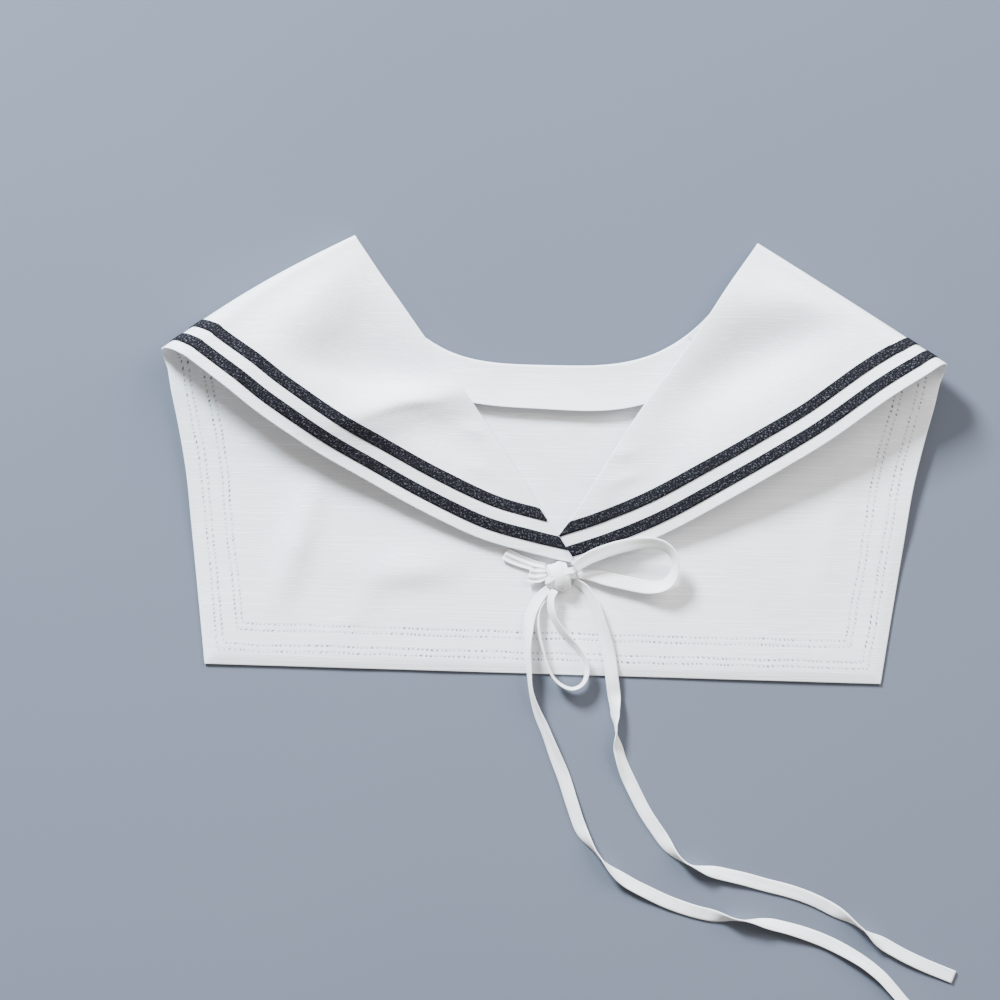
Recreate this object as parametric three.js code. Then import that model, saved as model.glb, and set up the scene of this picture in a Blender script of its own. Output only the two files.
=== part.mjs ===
import * as THREE from 'three';

// A sailor collar of white cotton, laid on a table as it is worn: the square back flap lies
// face down, both fronts are folded over at the shoulders and their tips are tied in a bow.
// Millimetres, +Z up, origin on the table under the middle of the collar. +Y points to the
// neck, and left and right are those of a viewer who looks down on it.

// Driving sizes of the cloth
const SHOULDER_WIDTH = 390; // between the outer ends of the two shoulder folds
const NECK_WIDTH = 201; // between the two points where the neckline turns over
const HEM_WIDTH = 338; // along the bottom edge of the back flap
const COLLAR_LENGTH = 219; // from the neck points down to the bottom edge
const SHOULDER_DROP = 59; // from the neck points down to the outer ends of the folds
const NECKLINE_DROP = 63; // from the neck points down to the middle of the back neckline
const LAPEL_DROP = 147.5; // from the neck points down to the point of the V
const LOWER_LAPEL_END = 15; // short end edge of the left front, at the point of the V
const UPPER_LAPEL_END = 19; // and of the right front, which laps over it
const LAPEL_END_TURN = -56; // degrees, the way these end edges run
const UNDERLAP = 5; // how far the lower front runs on beneath the upper one, at the V
const UNDERLAP_HEM = 2.5; // and at its hem
const POINT_OFFSET = 3.8; // how far the point of the V lies right of the middle
const HEM_SKEW = 3.4; // how much shorter the flap is at its left corner
const HEM_SHIFT = -2.5; // how far the bottom edge lies right of the middle

// Driving sizes of the thicknesses and folds
const CLOTH = 1; // the double cloth with its turned edges
const TAPE = 1; // thickness of the navy tape
const CLEARANCE = 0.3; // gap between pieces that lie on each other
const NECK_FOLD = 5; // height of the fold at the neck, where it is pressed flat
const SHOULDER_FOLD = 19; // height of the open fold at the shoulder
const SIDE_LIFT = 6; // how far the flap's side edge curls up at the shoulder
const HEM_TURN = 0.2; // how far the hem runs along the fold for each mm that it turns up to the crest

// Driving sizes of the trim
const HEM_MARGIN = 5.6; // bare cloth outside the outer tape
const TAPE_WIDTH = 5.9;
const TAPE_SPACING = 5.6; // bare cloth between the two tapes
const TAPE_EDGE = 0.5; // what a tape keeps from the neck edge where it runs out there
const BAND_DEPTH = 21.6; // neck band, from the neckline to its free edge
const BAND_SAG = 1.4; // how far that free edge sags, a little right of the middle
const BAND_LIFT = 1.2; // how far the free edge of the band stands off the flap
const BAND_INSET = 0.6; // how far the band stays behind the neckline
const BAND_END = 0.66; // where the band ends under a front, as a share of half the neck width
const BAND_SAG_PLACE = 0.25; // where it sags, and half the width of that sag, as such shares
const BAND_SAG_SPREAD = 0.3;
const TIE_WIDTH = 6.5;
const TIE = 1.2; // thickness of the folded and stitched tie
const TIE_DROP = 16; // mm over which a tail comes down from the flap's edge to the table

// Heights of the layers above the middle of the flap's cloth
const FLAP_LEVEL = TAPE + CLEARANCE + CLOTH / 2;
const FLAP_TOP = FLAP_LEVEL + CLOTH / 2; // this one above the table
const BAND_RISE = CLOTH + CLEARANCE;
const LOWER_TIP_RISE = CLOTH + TIE + 2 * CLEARANCE;
const UPPER_TIP_RISE = LOWER_TIP_RISE + CLOTH + TAPE + 2 * CLEARANCE;
const NECK_RISE = NECK_FOLD - CLOTH;
const SHOULDER_RISE = SHOULDER_FOLD - CLOTH;

const NECK_Y = COLLAR_LENGTH / 2;
const TAPE_OFFSETS = {
  stripe_outer: HEM_MARGIN,
  stripe_inner: HEM_MARGIN + TAPE_WIDTH + TAPE_SPACING,
};

// The folds of each front, from the shoulder to the tip. along is a share of the front's
// length. inner_bow and hem_bow push its two edges outwards, as shares of their own lengths.
// neck_lift is a share of the band's height, hem_lift a share of the shoulder's height above
// the tip. hollow and ridge are shares of the shoulder fold, at their own places across.
const LEFT_FRONT = [
  { along: 0.11, inner_bow: 0.001, hem_bow: 0.018, neck_lift: 0.15, hem_lift: 0.93, hollow: 0.03, ridge: 0.0 },
  { along: 0.21, inner_bow: -0.001, hem_bow: 0.037, neck_lift: 0.35, hem_lift: 0.8, hollow: 0.09, ridge: 0.03 },
  { along: 0.35, inner_bow: -0.003, hem_bow: 0.052, neck_lift: 0.55, hem_lift: 0.6, hollow: 0.11, ridge: 0.09 },
  { along: 0.48, inner_bow: -0.008, hem_bow: 0.056, neck_lift: 0.55, hem_lift: 0.42, hollow: 0.05, ridge: 0.13 },
  { along: 0.62, inner_bow: -0.009, hem_bow: 0.059, neck_lift: 0.3, hem_lift: 0.28, hollow: 0.0, ridge: 0.1 },
  { along: 0.77, inner_bow: -0.005, hem_bow: 0.053, neck_lift: 0.1, hem_lift: 0.14, hollow: 0.0, ridge: 0.05 },
  { along: 0.89, inner_bow: -0.001, hem_bow: 0.029, neck_lift: 0.0, hem_lift: 0.05, hollow: 0.0, ridge: 0.01 },
  { along: 1.0, inner_bow: 0.0, hem_bow: 0.0, neck_lift: 0.0, hem_lift: 0.0, hollow: 0.0, ridge: 0.0 },
];
const RIGHT_FRONT = [
  { along: 0.12, inner_bow: -0.001, hem_bow: 0.007, neck_lift: 0.1, hem_lift: 0.92, hollow: 0.02, ridge: 0.0 },
  { along: 0.29, inner_bow: 0.001, hem_bow: 0.027, neck_lift: 0.2, hem_lift: 0.7, hollow: 0.07, ridge: 0.03 },
  { along: 0.43, inner_bow: -0.002, hem_bow: 0.033, neck_lift: 0.25, hem_lift: 0.52, hollow: 0.05, ridge: 0.05 },
  { along: 0.58, inner_bow: -0.008, hem_bow: 0.035, neck_lift: 0.2, hem_lift: 0.38, hollow: 0.0, ridge: 0.06 },
  { along: 0.75, inner_bow: -0.003, hem_bow: 0.034, neck_lift: 0.1, hem_lift: 0.12, hollow: 0.0, ridge: 0.04 },
  { along: 0.89, inner_bow: 0.003, hem_bow: 0.02, neck_lift: 0.0, hem_lift: 0.02, hollow: 0.0, ridge: 0.01 },
  { along: 1.0, inner_bow: 0.0, hem_bow: 0.0, neck_lift: 0.0, hem_lift: 0.0, hollow: 0.0, ridge: 0.0 },
];
const HOLLOW_PLACE = 0.3; // where the hollow runs, as a share of the way from neck to hem
const RIDGE_PLACE = 0.62; // where the ridge runs
const FOLD_SPREAD = 0.2; // half width of hollow and ridge
const CURL_POWER = 2.5; // how sharply a side edge curls up

// What differs between the two sides. sign is -1 on the left. neckline is the power of the
// back neckline's curve. crest_bow is how far the shoulder fold bulges outwards, and hem_turn
// how far the hem runs along the fold for each mm that it turns from the crest to the front.
const LEFT = {
  sign: -1,
  front: LEFT_FRONT,
  tip_rise: LOWER_TIP_RISE,
  tip_edge: LOWER_LAPEL_END,
  neckline: 3.6,
  crest_bow: 3,
  hem_turn: 0.6,
};
const RIGHT = {
  sign: 1,
  front: RIGHT_FRONT,
  tip_rise: UPPER_TIP_RISE,
  tip_edge: UPPER_LAPEL_END,
  neckline: 3.2,
  crest_bow: 0.5,
  hem_turn: 0.4,
};

// The flap's side edge, from the shoulder to the corner. along and neck_share are shares
// of the edge and of the neckline up to the corner's row, bow is how far the edge runs
// inside the straight line as a share of its length, and curl is a share of the side lift.
const FLAP_SIDE = [
  { along: 0.08, neck_share: 0.12, bow: 0.003, curl: 0.92 },
  { along: 0.2, neck_share: 0.26, bow: 0.012, curl: 0.68 },
  { along: 0.36, neck_share: 0.42, bow: 0.018, curl: 0.36 },
  { along: 0.54, neck_share: 0.58, bow: 0.013, curl: 0.12 },
  { along: 0.72, neck_share: 0.74, bow: 0.008, curl: 0.02 },
  { along: 0.87, neck_share: 0.88, bow: 0.004, curl: 0.0 },
  { along: 1.0, neck_share: 1.0, bow: 0.0, curl: 0.0 },
];

// How finely each stretch of the cloth is divided, and how many steps there are across it
const FRONT_STEPS = 18;
const FOLD_STEPS = 8;
const FLAP_SIDE_STEPS = 10;
const FLAP_BOTTOM_STEPS = 10;
const CROSS_STEPS = 14;
const BAND_STEPS = 20;
const BAND_CROSS_STEPS = 4;
const STRAND_STEP = 9; // mm along a tie
const NUDGE = 0.01; // small share, for the slope of the cloth at a place
const KNOT_SIDES = 14;
const KNOT_RINGS = 6;

// Middle lines of the strands of the bow, chosen by hand from the real ones. They come out
// from under the left front or leave the knot, and the two tails run off the flap's edge
// onto the table. x and y are counted from the point of the V, and the third number is how
// much higher a strand runs there than where it would lie flat.
const TIE_STRANDS = {
  tie_root: [
    [-26.3, -9.8, 0.4], [-22.8, -11.7, 0.4], [-17.7, -13.8, 0.2], [-12.2, -15.6, 0], [-6, -16.9, 0],
  ],
  bow_end: [[-5.1, -19.6, 2], [-8.6, -20, 2], [-11.6, -20.1, 1.9], [-14.1, -19.6, 1.8]],
  bow_loop_right: [
    [8.3, -16.4, 5.9], [15.2, -11.6, 6.8], [23.2, -8, 7.2], [31.1, -5.4, 7.6], [39.6, -3.6, 8],
    [47.1, -3.2, 8.2], [53.1, -4.9, 7.4], [57.2, -8.6, 6], [58.8, -14.1, 4.4], [57.4, -20.1, 3.2],
    [53, -24.4, 2.2], [46.5, -25.3, 1.6], [39.5, -24.4, 1.4], [31.5, -22.9, 1.4], [24.4, -21.5, 1.5],
    [17.4, -20.1, 1.6], [8.8, -19.4, 1.6],
  ],
  bow_loop_lower: [
    [-1, -27.6, 3.5], [-2.9, -31.8, 3.5], [-2.7, -37.8, 3], [-0.1, -43.7, 2.2], [4.5, -49.7, 1.4],
    [10.1, -55.5, 0.8], [14.2, -61.5, 0.6], [15.9, -67.9, 0], [14, -74, 0], [9.1, -76.8, 0.3],
    [3.5, -75.2, 0], [-1.1, -70.8, 0], [-4.2, -63.8, 0], [-6.9, -55.9, 0], [-9, -47.9, 0],
    [-9.7, -39.9, 0], [-7.3, -32.9, 0], [-3.2, -27.4, 0],
  ],
  tie_tail_left: [
    [-2.6, -25.9, 1.7], [-7.2, -29.9, 1.7], [-10.8, -35, 1.7], [-13.2, -41, 1.7], [-14, -49, 1.6],
    [-14, -58, 0.9], [-13.1, -68, 0.1], [-11.9, -78, 0], [-8.7, -88.4, 0], [-4, -98.8, 0],
    [0.7, -110.2, 0], [5.5, -121.6, 0], [9.7, -134.1, 0], [14.5, -147, 0], [20.1, -155.4, 0],
    [27.8, -164.7, 0], [37, -172, 0], [48.1, -177.8, 0], [60.2, -183.1, 0], [74.8, -187.5, 0],
    [92.9, -190.4, 0], [104.9, -191.5, 0], [119.9, -194.6, 0], [134, -199.1, 0],
    [145.1, -203.9, 0], [156.3, -210.1, 0], [165.4, -217, 0], [171.5, -223.3, 0],
    [177.2, -229.7, 0], [182.8, -235.1, 0], [188.4, -240, 0],
  ],
  tie_tail_right: [
    [8.6, -22.9, 0], [13.6, -26, 0], [17.7, -31.9, 0], [20.8, -39.3, 0], [24, -48.8, 0],
    [26.7, -59.7, 0], [28.4, -71.2, 0], [29.9, -82.1, 0], [30.6, -93.1, 0], [32.1, -105.6, 0],
    [35.3, -116, 0], [40, -126, 0], [46.3, -137.8, 0], [53.5, -148.2, 0], [60.2, -157.1, 0],
    [67.8, -162.9, 0], [75.9, -165.7, 0], [85.4, -167.8, 0], [97, -170.3, 0],
    [107, -172.9, 0], [119.6, -175.9, 0], [130.6, -179.6, 0], [140.7, -184.4, 0],
    [150.9, -190.2, 0], [162.5, -198.5, 0], [174.2, -205.3, 0], [186.3, -211, 0], [202.2, -217.2, 0],
  ],
};
const KNOT_PLACE = [1.6, -20.6]; // from the point of the V
const KNOT_SIZE = [12.8, 11.6, 6.8]; // across, along the collar and upwards

function plan(x, y) {
  return new THREE.Vector2(x, y);
}

// The four plan points that the rest of one side hangs on, and the shoulder fold's directions
function layout(side) {
  const neck = plan((side.sign * NECK_WIDTH) / 2, NECK_Y);
  const shoulder = plan((side.sign * SHOULDER_WIDTH) / 2, NECK_Y - SHOULDER_DROP);
  const cornerY = -COLLAR_LENGTH / 2 + (side.sign < 0 ? HEM_SKEW : 0);
  const corner = plan(HEM_SHIFT + (side.sign * HEM_WIDTH) / 2, cornerY);
  const crest = shoulder.clone().sub(neck).normalize();
  const outward = plan(-side.sign * crest.y, side.sign * crest.x);
  return { neck, shoulder, corner, crest, outward };
}

const pointOfTheV = () => plan(POINT_OFFSET, NECK_Y - LAPEL_DROP);

// The two ends of a front's short end edge
function tipPoints(side) {
  const turn = THREE.MathUtils.degToRad(LAPEL_END_TURN);
  const inner = pointOfTheV();
  const hem = inner.clone().add(plan(Math.cos(turn), Math.sin(turn)).multiplyScalar(side.tip_edge));
  return { inner, hem };
}

// A row crosses the cloth from its neck edge to its hem. lift is what the whole row rises at
// its neck end and at its hem, curl is the part of the hem's rise that comes only at the edge.
function makeRow(inner, hem, innerRise, hemRise, curl, hollow, ridge, bow) {
  return [inner.x, inner.y, hem.x, hem.y, innerRise, hemRise, curl, hollow, ridge, bow.x, bow.y];
}

function bump(t, place) {
  return Math.exp(-(((t - place) / FOLD_SPREAD) ** 2));
}

function pointOnRow(row, t) {
  const [ix, iy, hx, hy, innerRise, hemRise, curl, hollow, ridge, bx, by] = row;
  const swell = Math.sin(Math.PI * t);
  const fall = innerRise * (1 - t) + (hemRise - curl) * t + curl * t ** CURL_POWER;
  const relief = ridge * bump(t, RIDGE_PLACE) - hollow * bump(t, HOLLOW_PLACE);
  return new THREE.Vector3(
    ix + (hx - ix) * t + bx * swell,
    iy + (hy - iy) * t + by * swell,
    FLAP_LEVEL + fall + relief,
  );
}

// The open roll at the shoulder, turning from the flap (-90 degrees) to the front (+90)
function foldRow(side, degrees) {
  const { neck, shoulder, crest, outward } = layout(side);
  const turn = THREE.MathUtils.degToRad(degrees);
  const neckRadius = NECK_RISE / 2;
  const shoulderRadius = SHOULDER_RISE / 2;
  const setBack = Math.cos(turn) - 1;
  const inner = neck.clone().addScaledVector(outward, neckRadius * setBack - CLOTH / 2);
  const hem = shoulder.clone().addScaledVector(outward, shoulderRadius * setBack - CLOTH / 2);
  const hemTurn = turn > 0 ? side.hem_turn : HEM_TURN;
  hem.addScaledVector(crest, -hemTurn * turn * shoulderRadius);
  const height = 1 + Math.sin(turn);
  const hemRise = shoulderRadius * height + SIDE_LIFT;
  const bow = outward.clone().multiplyScalar(side.crest_bow);
  return makeRow(inner, hem, neckRadius * height, hemRise, SIDE_LIFT, 0, 0, bow);
}

function frontRow(side, fold, start) {
  const tip = tipPoints(side);
  const { outward } = layout(side);
  const away = plan(side.sign, 0);
  if (side.sign < 0) {
    const run = tip.inner.clone().sub(plan(start[0], start[1])).normalize();
    tip.inner.addScaledVector(run, UNDERLAP);
    tip.hem.addScaledVector(run, UNDERLAP_HEM);
  }
  const bowed = (from, to, bow) => {
    const edge = to.clone().sub(from);
    const out = plan(-edge.y, edge.x);
    if (out.dot(away) < 0) out.negate();
    return from.clone().addScaledVector(edge, fold.along).addScaledVector(out, bow);
  };
  const inner = bowed(plan(start[0], start[1]), tip.inner, fold.inner_bow);
  const hem = bowed(plan(start[2], start[3]), tip.hem, fold.hem_bow);
  const bandStack = BAND_RISE + BAND_LIFT;
  const rest = THREE.MathUtils.lerp(NECK_RISE, side.tip_rise, fold.along);
  const innerRise = rest + fold.neck_lift * bandStack;
  const topRise = SHOULDER_RISE + SIDE_LIFT;
  const hemRise = THREE.MathUtils.lerp(side.tip_rise, topRise, fold.hem_lift);
  const fade = (1 - fold.along) ** 3;
  const relief = SHOULDER_FOLD + SIDE_LIFT;
  const bow = outward.clone().multiplyScalar(side.crest_bow * fade);
  const curl = SIDE_LIFT * (1 - fold.along) ** 2;
  return makeRow(inner, hem, innerRise, hemRise, curl, fold.hollow * relief, fold.ridge * relief, bow);
}

function necklinePoint(side, across) {
  const drop = NECKLINE_DROP * (1 - Math.abs(across) ** side.neckline);
  return plan((side.sign * Math.abs(across) * NECK_WIDTH) / 2, NECK_Y - drop);
}

// The row to the flap's corner halves the corner, so that the tapes are mitred there
function cornerAcross(side) {
  const { shoulder, corner } = layout(side);
  const up = shoulder.clone().sub(corner).normalize();
  const inwards = plan(-side.sign, 0).add(up);
  const reach = (NECK_Y - NECKLINE_DROP - corner.y) / inwards.y;
  return Math.abs(corner.x + inwards.x * reach) / (NECK_WIDTH / 2);
}

function flapSideRow(side, place, start) {
  const { corner } = layout(side);
  const from = plan(start[2], start[3]);
  const edge = corner.clone().sub(from);
  const into = plan(-edge.y, edge.x);
  if (into.x * side.sign > 0) into.negate();
  const hem = from.clone().addScaledVector(edge, place.along).addScaledVector(into, place.bow);
  const startAcross = Math.abs(start[0]) / (NECK_WIDTH / 2);
  const across = THREE.MathUtils.lerp(startAcross, cornerAcross(side), place.neck_share);
  const inner = necklinePoint(side, across);
  const curl = SIDE_LIFT * place.curl;
  const bow = layout(side).outward.multiplyScalar(side.crest_bow * (1 - place.along) ** 4);
  return makeRow(inner, hem, 0, curl, curl, 0, 0, bow);
}

// A smooth run of rows through a few chosen ones, without the lead-in row at the start
function smoothRows(rows, steps) {
  const runs = rows.length - 1;
  const pick = (i) => rows[Math.min(Math.max(i, 0), runs)];
  const out = [];
  for (let step = 0; step <= steps; step += 1) {
    const place = 1 + ((runs - 1) * step) / steps;
    const k = Math.min(Math.floor(place), runs - 1);
    const f = place - k;
    const [a, b, c, d] = [pick(k - 1), pick(k), pick(k + 1), pick(k + 2)];
    out.push(b.map((value, i) => {
      const slopeIn = (c[i] - a[i]) / 2;
      const slopeOut = (d[i] - value) / 2;
      return value * (1 + 2 * f) * (1 - f) ** 2 + slopeIn * f * (1 - f) ** 2
        + c[i] * f ** 2 * (3 - 2 * f) + slopeOut * f ** 2 * (f - 1);
    }));
  }
  return out;
}

// One side's rows, from the tip of the front over the shoulder to the flap's corner
function sideRows(side) {
  const top = foldRow(side, 90);
  const front = smoothRows(
    [foldRow(side, 60), top, ...side.front.map((fold) => frontRow(side, fold, top))],
    FRONT_STEPS,
  );
  const roll = [];
  for (let step = 1; step < FOLD_STEPS; step += 1) {
    roll.push(foldRow(side, 90 - (180 * step) / FOLD_STEPS));
  }
  const bottom = foldRow(side, -90);
  const flap = smoothRows(
    [foldRow(side, -60), bottom, ...FLAP_SIDE.map((place) => flapSideRow(side, place, bottom))],
    FLAP_SIDE_STEPS,
  );
  return [...front.reverse(), ...roll, ...flap];
}

// All rows, from the left tip round the back to the right tip
function collarRows() {
  const left = sideRows(LEFT);
  const right = sideRows(RIGHT).reverse();
  const from = left[left.length - 1];
  const to = right[0];
  const bottom = [];
  for (let step = 1; step < FLAP_BOTTOM_STEPS; step += 1) {
    const share = step / FLAP_BOTTOM_STEPS;
    const row = from.map((value, i) => THREE.MathUtils.lerp(value, to[i], share));
    const across = row[0] / (NECK_WIDTH / 2);
    const inner = necklinePoint(across < 0 ? LEFT : RIGHT, across);
    [row[0], row[1]] = [inner.x, inner.y];
    bottom.push(row);
  }
  const rows = [...left, ...bottom, ...right];
  return { rows, corners: [left.length - 1, left.length + bottom.length] };
}

const COLLAR = collarRows();

function clothNormal(k, t) {
  const last = COLLAR.rows.length - 1;
  const before = pointOnRow(COLLAR.rows[Math.max(k - 1, 0)], t);
  const after = pointOnRow(COLLAR.rows[Math.min(k + 1, last)], t);
  const near = pointOnRow(COLLAR.rows[k], Math.max(t - NUDGE, 0));
  const far = pointOnRow(COLLAR.rows[k], Math.min(t + NUDGE, 1));
  return after.sub(before).cross(far.sub(near)).normalize();
}

// Where a line at this distance inside the hem crosses row k
function shareAtDistance(k, distance) {
  const { rows, corners } = COLLAR;
  const last = rows.length - 1;
  const ahead = corners.includes(k) ? k : Math.min(k + 1, last);
  const along = pointOnRow(rows[ahead], 1).sub(pointOnRow(rows[Math.max(k - 1, 0)], 1)).normalize();
  const across = pointOnRow(rows[k], 1).sub(pointOnRow(rows[k], 1 - NUDGE)).divideScalar(NUDGE);
  return 1 - distance / across.cross(along).length();
}

// A closed wall between two skins of the same grid of points
function wallGeometry(lower, upper) {
  const rows = lower.length;
  const columns = lower[0].length;
  const positions = [];
  for (const skin of [lower, upper]) {
    for (const line of skin) for (const p of line) positions.push(p.x, p.y, p.z);
  }
  const low = (i, j) => i * columns + j;
  const high = (i, j) => rows * columns + low(i, j);
  const index = [];
  const quad = (a, b, c, d) => index.push(a, b, c, a, c, d);
  for (let i = 0; i < rows - 1; i += 1) {
    for (let j = 0; j < columns - 1; j += 1) {
      quad(high(i, j), high(i + 1, j), high(i + 1, j + 1), high(i, j + 1));
      quad(low(i, j), low(i, j + 1), low(i + 1, j + 1), low(i + 1, j));
    }
    quad(low(i, 0), low(i + 1, 0), high(i + 1, 0), high(i, 0));
    quad(low(i + 1, columns - 1), low(i, columns - 1), high(i, columns - 1), high(i + 1, columns - 1));
  }
  for (let j = 0; j < columns - 1; j += 1) {
    quad(low(0, j + 1), low(0, j), high(0, j), high(0, j + 1));
    quad(low(rows - 1, j), low(rows - 1, j + 1), high(rows - 1, j + 1), high(rows - 1, j));
  }
  const geometry = new THREE.BufferGeometry();
  geometry.setAttribute('position', new THREE.Float32BufferAttribute(positions, 3));
  geometry.setIndex(index);
  geometry.computeVertexNormals();
  return geometry;
}

// The cloth from its inside to its outside, one folded sheet
function collarGeometry() {
  const skin = (offset) => COLLAR.rows.map((row, k) => {
    const line = [];
    for (let j = 0; j <= CROSS_STEPS; j += 1) {
      const t = j / CROSS_STEPS;
      line.push(pointOnRow(row, t).addScaledVector(clothNormal(k, t), offset));
    }
    return line;
  });
  return wallGeometry(skin(-CLOTH / 2), skin(CLOTH / 2));
}

// A tape on the outside of the cloth, at one distance from the hem all the way. Where the
// front gets narrower than that distance, the tape is cut off along the neck edge.
function tapeGeometry(distance) {
  const lower = [];
  const upper = [];
  COLLAR.rows.forEach((row, k) => {
    const length = pointOnRow(row, 1).distanceTo(pointOnRow(row, 0));
    const edge = TAPE_EDGE / length;
    const outer = shareAtDistance(k, distance);
    const inner = Math.max(shareAtDistance(k, distance + TAPE_WIDTH), edge);
    if ((outer - inner) * length < TAPE_EDGE) return;
    const line = (offset) => [inner, outer].map(
      (t) => pointOnRow(row, t).addScaledVector(clothNormal(k, t), offset),
    );
    lower.push(line(CLOTH / 2 + CLEARANCE));
    upper.push(line(CLOTH / 2 + CLEARANCE + TAPE));
  });
  return wallGeometry(lower, upper);
}

// The band that faces the back neckline, with its ends under the two fronts
function bandGeometry() {
  const at = (across) => necklinePoint(across < 0 ? LEFT : RIGHT, across);
  const skin = (offset) => {
    const lines = [];
    for (let i = 0; i <= BAND_STEPS; i += 1) {
      const across = BAND_END * ((2 * i) / BAND_STEPS - 1);
      const run = at(across + NUDGE).sub(at(across - NUDGE)).normalize();
      const into = plan(run.y, -run.x);
      const sag = BAND_SAG * Math.exp(-(((across - BAND_SAG_PLACE) / BAND_SAG_SPREAD) ** 2));
      const line = [];
      for (let j = 0; j <= BAND_CROSS_STEPS; j += 1) {
        const share = j / BAND_CROSS_STEPS;
        const depth = BAND_INSET + (BAND_DEPTH - BAND_INSET + sag) * share;
        const p = at(across).addScaledVector(into, depth);
        const level = FLAP_LEVEL + BAND_RISE + BAND_LIFT * share ** 2 + offset;
        line.push(new THREE.Vector3(p.x, p.y, level));
      }
      lines.push(line);
    }
    return lines;
  };
  return wallGeometry(skin(CLOTH / 2), skin(-CLOTH / 2));
}

// A tie is a flat strip, so its section is a wide box with its edges taken off
function tieSection() {
  const [x, y, edge] = [TIE / 2, TIE_WIDTH / 2, TIE / 4];
  return new THREE.Shape([
    plan(x, y - edge), plan(x - edge, y), plan(edge - x, y), plan(-x, y - edge),
    plan(-x, edge - y), plan(edge - x, -y), plan(x - edge, -y), plan(x, edge - y),
  ]);
}

// The middle line of a strip that lies flat, with its broad side up all the way
class FlatStripPath extends THREE.CatmullRomCurve3 {
  computeFrenetFrames(steps) {
    const frames = { tangents: [], normals: [], binormals: [] };
    for (let i = 0; i <= steps; i += 1) {
      const tangent = this.getTangentAt(i / steps);
      const across = tangent.clone().cross(new THREE.Vector3(0, 0, 1)).normalize();
      frames.tangents.push(tangent);
      frames.normals.push(across.clone().cross(tangent));
      frames.binormals.push(across);
    }
    return frames;
  }
}

// Where a flat strand's middle line lies, on the flap or past its edge on the table
function strandPoint([x, y, rise]) {
  const point = pointOfTheV().add(plan(x, y));
  const edge = -COLLAR_LENGTH / 2;
  const under = FLAP_TOP * THREE.MathUtils.smoothstep(point.y, edge - TIE_DROP, edge);
  return new THREE.Vector3(point.x, point.y, under + CLEARANCE + TIE / 2 + rise);
}

function strandGeometry(points) {
  const curve = new FlatStripPath(points.map(strandPoint));
  const steps = Math.ceil(curve.getLength() / STRAND_STEP);
  return new THREE.ExtrudeGeometry(tieSection(), { steps, bevelEnabled: false, extrudePath: curve });
}

// The knot is a flattened cushion between the strands
function knotGeometry() {
  const half = Math.PI / 2;
  const profile = [];
  for (let i = 0; i <= KNOT_RINGS; i += 1) {
    const turn = half * ((2 * i) / KNOT_RINGS - 1);
    profile.push(plan(Math.cos(turn) ** 0.7 / 2, Math.sin(turn) / 2));
  }
  profile[0].x = 0;
  profile[KNOT_RINGS].x = 0;
  const geometry = new THREE.LatheGeometry(profile, KNOT_SIDES);
  geometry.rotateX(half);
  geometry.scale(...KNOT_SIZE);
  const middle = pointOfTheV().add(plan(...KNOT_PLACE));
  geometry.translate(middle.x, middle.y, FLAP_TOP + CLEARANCE + KNOT_SIZE[2] / 2);
  return geometry;
}

const cotton = new THREE.MeshStandardMaterial({ color: 0xe6e7e8, roughness: 0.9, metalness: 0 });
const navyTape = new THREE.MeshStandardMaterial({ color: 0x2e2e3a, roughness: 0.75, metalness: 0 });

const collar = new THREE.Group();

function addPiece(name, geometry, material) {
  const mesh = new THREE.Mesh(geometry, material);
  mesh.name = name;
  collar.add(mesh);
}

addPiece('collar_body', collarGeometry(), cotton);
for (const [name, distance] of Object.entries(TAPE_OFFSETS)) {
  addPiece(name, tapeGeometry(distance), navyTape);
}
addPiece('neck_band', bandGeometry(), cotton);
addPiece('tie_knot', knotGeometry(), cotton);
for (const [name, points] of Object.entries(TIE_STRANDS)) {
  addPiece(name, strandGeometry(points), cotton);
}

export default collar;
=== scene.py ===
import math

import bmesh
import bpy
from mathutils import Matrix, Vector, noise


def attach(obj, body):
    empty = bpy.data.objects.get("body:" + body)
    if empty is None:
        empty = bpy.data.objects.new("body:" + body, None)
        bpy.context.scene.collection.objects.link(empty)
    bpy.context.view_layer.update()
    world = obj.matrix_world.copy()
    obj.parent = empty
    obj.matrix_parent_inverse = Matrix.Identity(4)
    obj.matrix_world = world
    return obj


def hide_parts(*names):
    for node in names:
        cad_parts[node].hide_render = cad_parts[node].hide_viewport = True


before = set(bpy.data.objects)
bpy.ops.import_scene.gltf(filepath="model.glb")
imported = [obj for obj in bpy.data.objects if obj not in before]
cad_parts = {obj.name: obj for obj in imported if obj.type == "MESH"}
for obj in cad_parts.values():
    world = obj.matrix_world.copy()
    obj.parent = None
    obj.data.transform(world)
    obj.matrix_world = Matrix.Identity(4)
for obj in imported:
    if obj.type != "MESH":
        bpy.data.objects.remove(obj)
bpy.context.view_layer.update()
bpy.ops.object.select_all(action="DESELECT")

# Sizes of the collar in metres, as the part's source has them
SHOULDER_WIDTH = 0.39
NECK_WIDTH = 0.201
HEM_WIDTH = 0.338
COLLAR_LENGTH = 0.219
SHOULDER_DROP = 0.059
NECKLINE_DROP = 0.063
LAPEL_DROP = 0.1475
LOWER_LAPEL_END = 0.015
UPPER_LAPEL_END = 0.019
LAPEL_END_TURN = math.radians(-56)
UNDERLAP = 0.005
UNDERLAP_HEM = 0.0025
POINT_OFFSET = 0.0038
HEM_SKEW = 0.0034
HEM_SHIFT = -0.0025
CLOTH = 0.001
TAPE = 0.001
CLEARANCE = 0.0003
NECK_FOLD = 0.005
SHOULDER_FOLD = 0.019
SIDE_LIFT = 0.006
HEM_TURN = 0.2
HEM_MARGIN = 0.0056
TAPE_WIDTH = 0.0059
TAPE_SPACING = 0.0056
BAND_DEPTH = 0.0216
BAND_SAG = 0.0014
BAND_LIFT = 0.0012
BAND_STAND = 0.004
BAND_INSET = 0.0006
BAND_END = 0.66
BAND_SAG_PLACE = 0.25
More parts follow.
